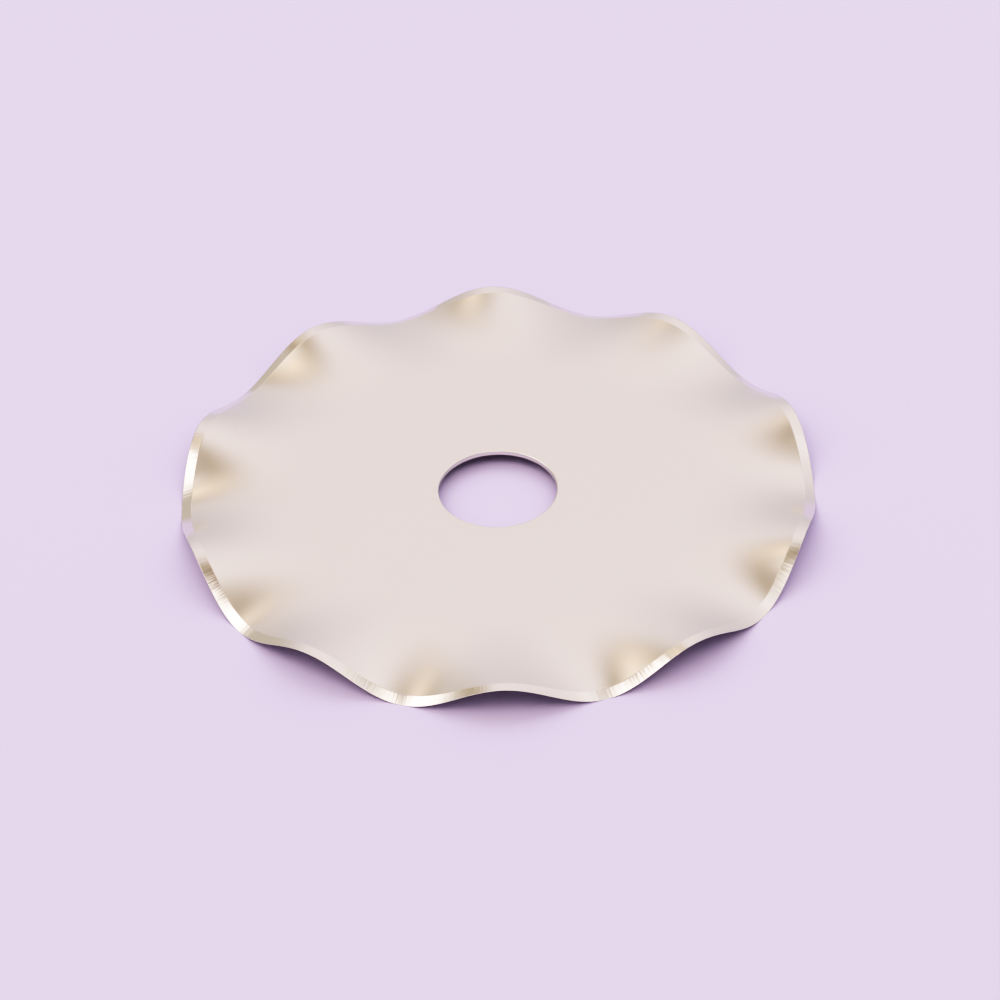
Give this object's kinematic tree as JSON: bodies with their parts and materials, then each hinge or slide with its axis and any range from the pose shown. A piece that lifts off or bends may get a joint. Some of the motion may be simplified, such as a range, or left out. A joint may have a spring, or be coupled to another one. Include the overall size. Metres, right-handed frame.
{
  "type": "rotary cutter blade",
  "caption": "Thin round wavy-rimmed cutting blade with a central bore, ground to an edge on both faces, for a rotary cutter's pin.",
  "frame": {"origin": "centre of the bore, halfway through the sheet", "axes": "+Z along the bore; a crest of the waves lies on +Y"},
  "size_m": [0.0428, 0.0428, 0.002],
  "materials": {
    "steel": "satin rolled sheet with a finely ground bevel"
  },
  "bodies": {
    "root": {"blade": "steel"}
  },
  "joints": []
}
